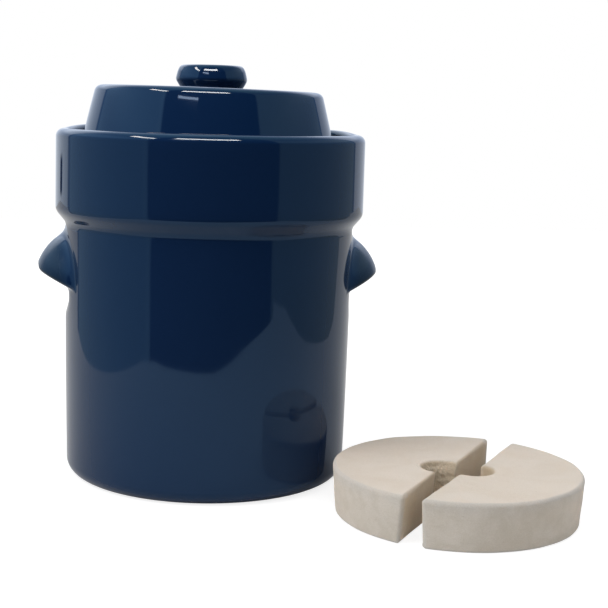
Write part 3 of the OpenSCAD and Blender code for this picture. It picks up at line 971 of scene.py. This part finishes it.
# The bright and dark patches on those walls: lowest and highest bearing, lowest and highest elevation,
# softness of the edge, all in degrees, how many degrees the patch climbs for each degree to the right,
# and the colour
PATCHES = [
    (-78, -46, 39, 46, 1.2, -0.42, (44.0, 28.0, 20.0)),
    (-31, 24, 39, 50, 1.5, 0.0, (52.0, 32.0, 23.0)),
    (-32, -11, 28.8, 30.3, 0.4, 0.0, (11.8, 9.2, 9.0)),
    (-145, -140, -3.9, -2.2, 0.4, 0.0, (0.02, 0.03, 0.05)),
]

# What the studio adds to the walls higher up: a bluer light from 18 degrees, and the ceiling's from 80
BLUER_ABOVE = (0.0, 0.15, 0.45)
CEILING = (0.28, 0.50, 0.35)

# The table's outline in millimetres, once round from the left of its front edge
TABLE = [
    (-320, -420),
    (-220, -450),
    (-100, -480),
    (50, -490),
    (120, -510),
    (240, -540),
    (380, -550),
    (600, -530),
    (710, -610),
    (750, -440),
    (610, -140),
    (610, 170),
    (690, 300),
    (1600, 1050),
    (1600, 2000),
    (-1600, 2000),
    (-1600, 1090),
    (-570, 310),
    (-480, 110),
    (-390, -360),
]


def make_table():
    """The table top as rings from its middle to its outline: each ring is the outline, times its share
    of the way. It lies a little below the foot, so that the two never share a plane."""
    outline = np.array(TABLE, float) * 0.001
    rings = [outline * share for share in (0.25, 0.5, 1.0)]
    places = np.concatenate([[[0.0, 0.0]], *rings])
    table_z = -0.0002
    places = np.concatenate([places, np.full((len(places), 1), table_z)], 1)
    n = len(outline)
    j, k = np.arange(n), (np.arange(n) + 1) % n
    faces = [list(f) for f in np.stack([0 * j, 1 + j, 1 + k], -1).tolist()]
    for level in (0, 1):
        inner, outer = 1 + level * n, 1 + (level + 1) * n
        faces += np.stack([inner + j, outer + j, outer + k, inner + k], -1).tolist()
    mesh = bpy.data.meshes.new("table_top")
    mesh.from_pydata(places.tolist(), [], faces)
    mesh.materials.append(table_material())
    table = bpy.data.objects.new("table_top", mesh)
    bpy.context.scene.collection.objects.link(table)


def patch_share(tree, bearing, rise, left, right, low, high, soft, climb):
    """How far a direction is within a patch: 1 inside and 0 outside, with a soft edge. A patch is a
    rectangle in bearing and elevation, sheared upwards by climb."""
    middle = (left + right) / 2
    height = calculate(tree, "MULTIPLY_ADD", bearing, climb, (low + high) / 2 - climb * middle)
    across = calculate(tree, "ABSOLUTE", calculate(tree, "SUBTRACT", bearing, middle))
    upward = calculate(tree, "ABSOLUTE", calculate(tree, "SUBTRACT", rise, height))
    wide, tall = (right - left) / 2, (high - low) / 2
    across = stretch(tree, across, wide + soft / 2, wide - soft / 2)
    upward = stretch(tree, upward, tall + soft / 2, tall - soft / 2)
    return calculate(tree, "MULTIPLY", across, upward)


def mirrored_studio(tree, way):
    """What the glaze shows in a direction: the wall at that bearing, brighter where it is nearer and
    dimmer again above, with what the studio adds higher up, and the patches over it."""
    right, rear, up = way.outputs
    ahead = calculate(tree, "MULTIPLY", rear, -1.0)
    bearing = calculate(tree, "MULTIPLY", calculate(tree, "ARCTAN2", right, ahead), 180 / np.pi)
    rise = calculate(tree, "MULTIPLY", calculate(tree, "ARCSINE", up), 180 / np.pi)
    round_share = calculate(tree, "MULTIPLY_ADD", bearing, 1 / 360, 0.5)
    walls = add_node(tree, "ShaderNodeValToRGB", {0: round_share})
    stops = walls.color_ramp.elements
    while len(stops) < len(WALLS):
        stops.new(1.0)
    for stop, (angle, colour) in zip(stops, WALLS):
        stop.position = angle / 360 + 0.5
        stop.color = (*colour, 1.0)
    nearer = stretch(tree, rise, 12.0, 22.0, 1.0, 1.9)
    nearer = calculate(tree, "MULTIPLY", nearer, stretch(tree, rise, 30.0, 48.0, 1.0, 0.53))
    shown = mixed(tree, 1.0, walls.outputs[0], as_grey(tree, nearer), "MULTIPLY")
    shown = mixed(tree, stretch(tree, rise, -14.0, 18.0, smooth=False), shown, BLUER_ABOVE, "ADD")
    shown = mixed(tree, stretch(tree, rise, 36.0, 80.0), shown, CEILING, "ADD")
    for *edges, colour in PATCHES:
        shown = mixed(tree, patch_share(tree, bearing, rise, *edges), shown, colour)
    return shown


def dome_light(tree, way, strength):
    """The light for all that isn't seen straight or in the glaze: how far a direction points up, plus
    a share of how far it points to the right, times the strength, and none from below."""
    right, _, up = way.outputs
    aside_share = 0.24
    above = calculate(tree, "MULTIPLY", calculate(tree, "MAXIMUM", up, 0.0), strength)
    aside = calculate(tree, "MAXIMUM", right, 0.0)
    aside = calculate(tree, "MULTIPLY", aside, strength * aside_share)
    dome = calculate(tree, "ADD", above, aside)
    return as_grey(tree, calculate(tree, "MULTIPLY", dome, stretch(tree, up, -0.05, 0.02)))


def make_studio(strength):
    """The world: white straight behind everything, the studio's walls where the glaze reflects them,
    and for all other light a white dome, brightest overhead and a little brighter on the right."""
    world = bpy.data.worlds.new("studio")
    bpy.context.scene.world = world
    world.use_nodes = True
    tree = world.node_tree
    tree.nodes.clear()
    generated = add_node(tree, "ShaderNodeTexCoord").outputs["Generated"]
    way = add_node(tree, "ShaderNodeSeparateXYZ", {0: generated})
    path = add_node(tree, "ShaderNodeLightPath")
    dome = dome_light(tree, way, strength)
    shown = mixed(tree, path.outputs["Is Glossy Ray"], dome, mirrored_studio(tree, way))
    shown = mixed(tree, path.outputs["Is Camera Ray"], shown, (1.0, 1.0, 1.0))
    light = add_node(tree, "ShaderNodeBackground", {"Color": shown, "Strength": 1.0})
    output = add_node(tree, "ShaderNodeOutputWorld")
    tree.links.new(light.outputs[0], output.inputs[0])


# Where the soft lamp stands and where it points, in metres
LAMP_PLACE = (-1.25, -0.62, 1.15)
LAMP_TARGET = (0.1, -0.05, 0.1)


def make_lamp(power, size):
    """A soft square lamp that points at its target and doesn't show in the glaze."""
    light = bpy.data.lights.new("soft_key", "AREA")
    light.shape = "SQUARE"
    light.size = size
    light.energy = power
    lamp = bpy.data.objects.new("soft_key", light)
    lamp.location = LAMP_PLACE
    way = Vector(LAMP_TARGET) - Vector(LAMP_PLACE)
    lamp.rotation_mode = "QUATERNION"
    lamp.rotation_quaternion = way.to_track_quat("-Z", "Y")
    lamp.visible_glossy = False
    bpy.context.scene.collection.objects.link(lamp)


# The picture in pixels: its width and height, its focal length, and where its optical axis meets it
PICTURE_SIZE = 608
FOCAL_LENGTH = 1287.22
AXIS_X, AXIS_Y = 270, 262
# Width of the camera's sensor in millimetres
SENSOR_WIDTH = 36.0


def make_camera(studio):
    """The camera, turned by yaw about the upright, then pitched down, then rolled. Its lens and its
    shift give the picture its focal length and its optical axis."""
    cy, sy = np.cos(studio.yaw), np.sin(studio.yaw)
    cp, sp = np.cos(studio.pitch), np.sin(studio.pitch)
    cr, sr = np.cos(studio.roll), np.sin(studio.roll)
    turn = np.array([[cy, sy, 0], [-sy, cy, 0], [0, 0, 1]])
    tip = np.array([[1, 0, 0], [0, -sp, -cp], [0, cp, -sp]])
    roll = np.array([[cr, -sr, 0], [sr, cr, 0], [0, 0, 1]])
    right, down, forward = roll @ tip @ turn
    axes = np.eye(4)
    axes[:3, :3] = np.stack([right, -down, -forward], 1)
    axes[:3, 3] = (0, -studio.away, studio.up)
    data = bpy.data.cameras.new("camera")
    data.sensor_width = SENSOR_WIDTH
    data.lens = FOCAL_LENGTH / PICTURE_SIZE * SENSOR_WIDTH
    data.shift_x = (PICTURE_SIZE / 2 - AXIS_X) / PICTURE_SIZE
    data.shift_y = (AXIS_Y - PICTURE_SIZE / 2) / PICTURE_SIZE
    data.clip_end = 50.0
    camera = bpy.data.objects.new("camera", data)
    camera.matrix_world = Matrix(axes.tolist())
    bpy.context.scene.collection.objects.link(camera)
    bpy.context.scene.camera = camera


class MakeCrock(bpy.types.Operator):
    """Makes the glazed crock with its collar, gutter and lugs in one surface"""

    bl_idname = "pickle_jar.make_crock"
    bl_label = "Make crock"

    def execute(self, context):
        sizes = crock_places(in_millimetres(context.scene.jar_crock))
        piece = closed_form("glazed_crock", *crock_surface(sizes))
        material = bpy.data.materials.get("blue glaze") or glaze_material(context.scene.jar_finishes)
        finished(piece, material, "crock", "blue_glaze", "crock_body", "lug_left", "lug_right")
        return {"FINISHED"}


class MakeLid(bpy.types.Operator):
    """Makes the glazed cap lid and its knob in one surface"""

    bl_idname = "pickle_jar.make_lid"
    bl_label = "Make lid"

    def execute(self, context):
        sizes = lid_places(in_millimetres(context.scene.jar_lid))
        piece = closed_form("glazed_lid", *lid_surface(sizes))
        material = bpy.data.materials.get("blue glaze") or glaze_material(context.scene.jar_finishes)
        finished(piece, material, "lid", "blue_glaze", "lid", "lid_knob")
        return {"FINISHED"}


class MakeStones(bpy.types.Operator):
    """Makes the two half-round weights of bare stoneware"""

    bl_idname = "pickle_jar.make_stones"
    bl_label = "Make weights"

    def execute(self, context):
        sizes = in_millimetres(context.scene.jar_stones)
        material = bpy.data.materials.get("bare stoneware") or stone_material(context.scene.jar_finishes)
        piece = closed_form("stone_left", *stone_surface(sizes, LEFT_HALF))
        finished(piece, material, "left_weight", "bare_stoneware", "weight_left")
        piece = closed_form("stone_right", *stone_surface(sizes, RIGHT_HALF), flipped=True)
        finished(piece, material, "right_weight", "bare_stoneware", "weight_right")
        return {"FINISHED"}


class MakeStage(bpy.types.Operator):
    """Makes the white table, the studio's light and the camera"""

    bl_idname = "pickle_jar.make_stage"
    bl_label = "Make stage"

    def execute(self, context):
        studio = context.scene.jar_studio
        make_table()
        make_studio(studio.dome)
        make_lamp(studio.lamp, studio.lamp_size)
        make_camera(studio)
        context.scene.view_settings.view_transform = "Standard"
        return {"FINISHED"}


class JarPanel(bpy.types.Panel):
    """Lists the steps that make the jar, and the sizes they read."""

    bl_idname = "VIEW3D_PT_pickle_jar"
    bl_label = "Pickle jar"
    bl_space_type = "VIEW_3D"
    bl_region_type = "UI"
    bl_category = "Pickle jar"

    def draw(self, context):
        scene = context.scene
        steps = (
            (MakeCrock, scene.jar_crock),
            (MakeLid, scene.jar_lid),
            (MakeStones, scene.jar_stones),
            (MakeStage, scene.jar_studio),
        )
        for step, group in steps:
            box = self.layout.box()
            box.operator(step.bl_idname)
            for key in group.__annotations__:
                box.prop(group, key)
        box = self.layout.box()
        for key in scene.jar_finishes.__annotations__:
            box.prop(scene.jar_finishes, key)


GROUPS = {
    "jar_crock": CrockSizes,
    "jar_lid": LidSizes,
    "jar_stones": StoneSizes,
    "jar_finishes": Finishes,
    "jar_studio": StudioSettings,
}
STEPS = (MakeCrock, MakeLid, MakeStones, MakeStage)


def register():
    """Makes the groups of sizes, the steps and the panel known to Blender."""
    for name, group in GROUPS.items():
        bpy.utils.register_class(group)
        setattr(bpy.types.Scene, name, bpy.props.PointerProperty(type=group))
    for step in STEPS:
        bpy.utils.register_class(step)
    bpy.utils.register_class(JarPanel)


def unregister():
    """Takes them all away again."""
    bpy.utils.unregister_class(JarPanel)
    for step in reversed(STEPS):
        bpy.utils.unregister_class(step)
    for name, group in reversed(GROUPS.items()):
        delattr(bpy.types.Scene, name)
        bpy.utils.unregister_class(group)


def main():
    """Makes the whole jar and its stage."""
    register()
    bpy.ops.pickle_jar.make_crock()
    bpy.ops.pickle_jar.make_lid()
    bpy.ops.pickle_jar.make_stones()
    bpy.ops.pickle_jar.make_stage()


if __name__ == "__main__":
    main()
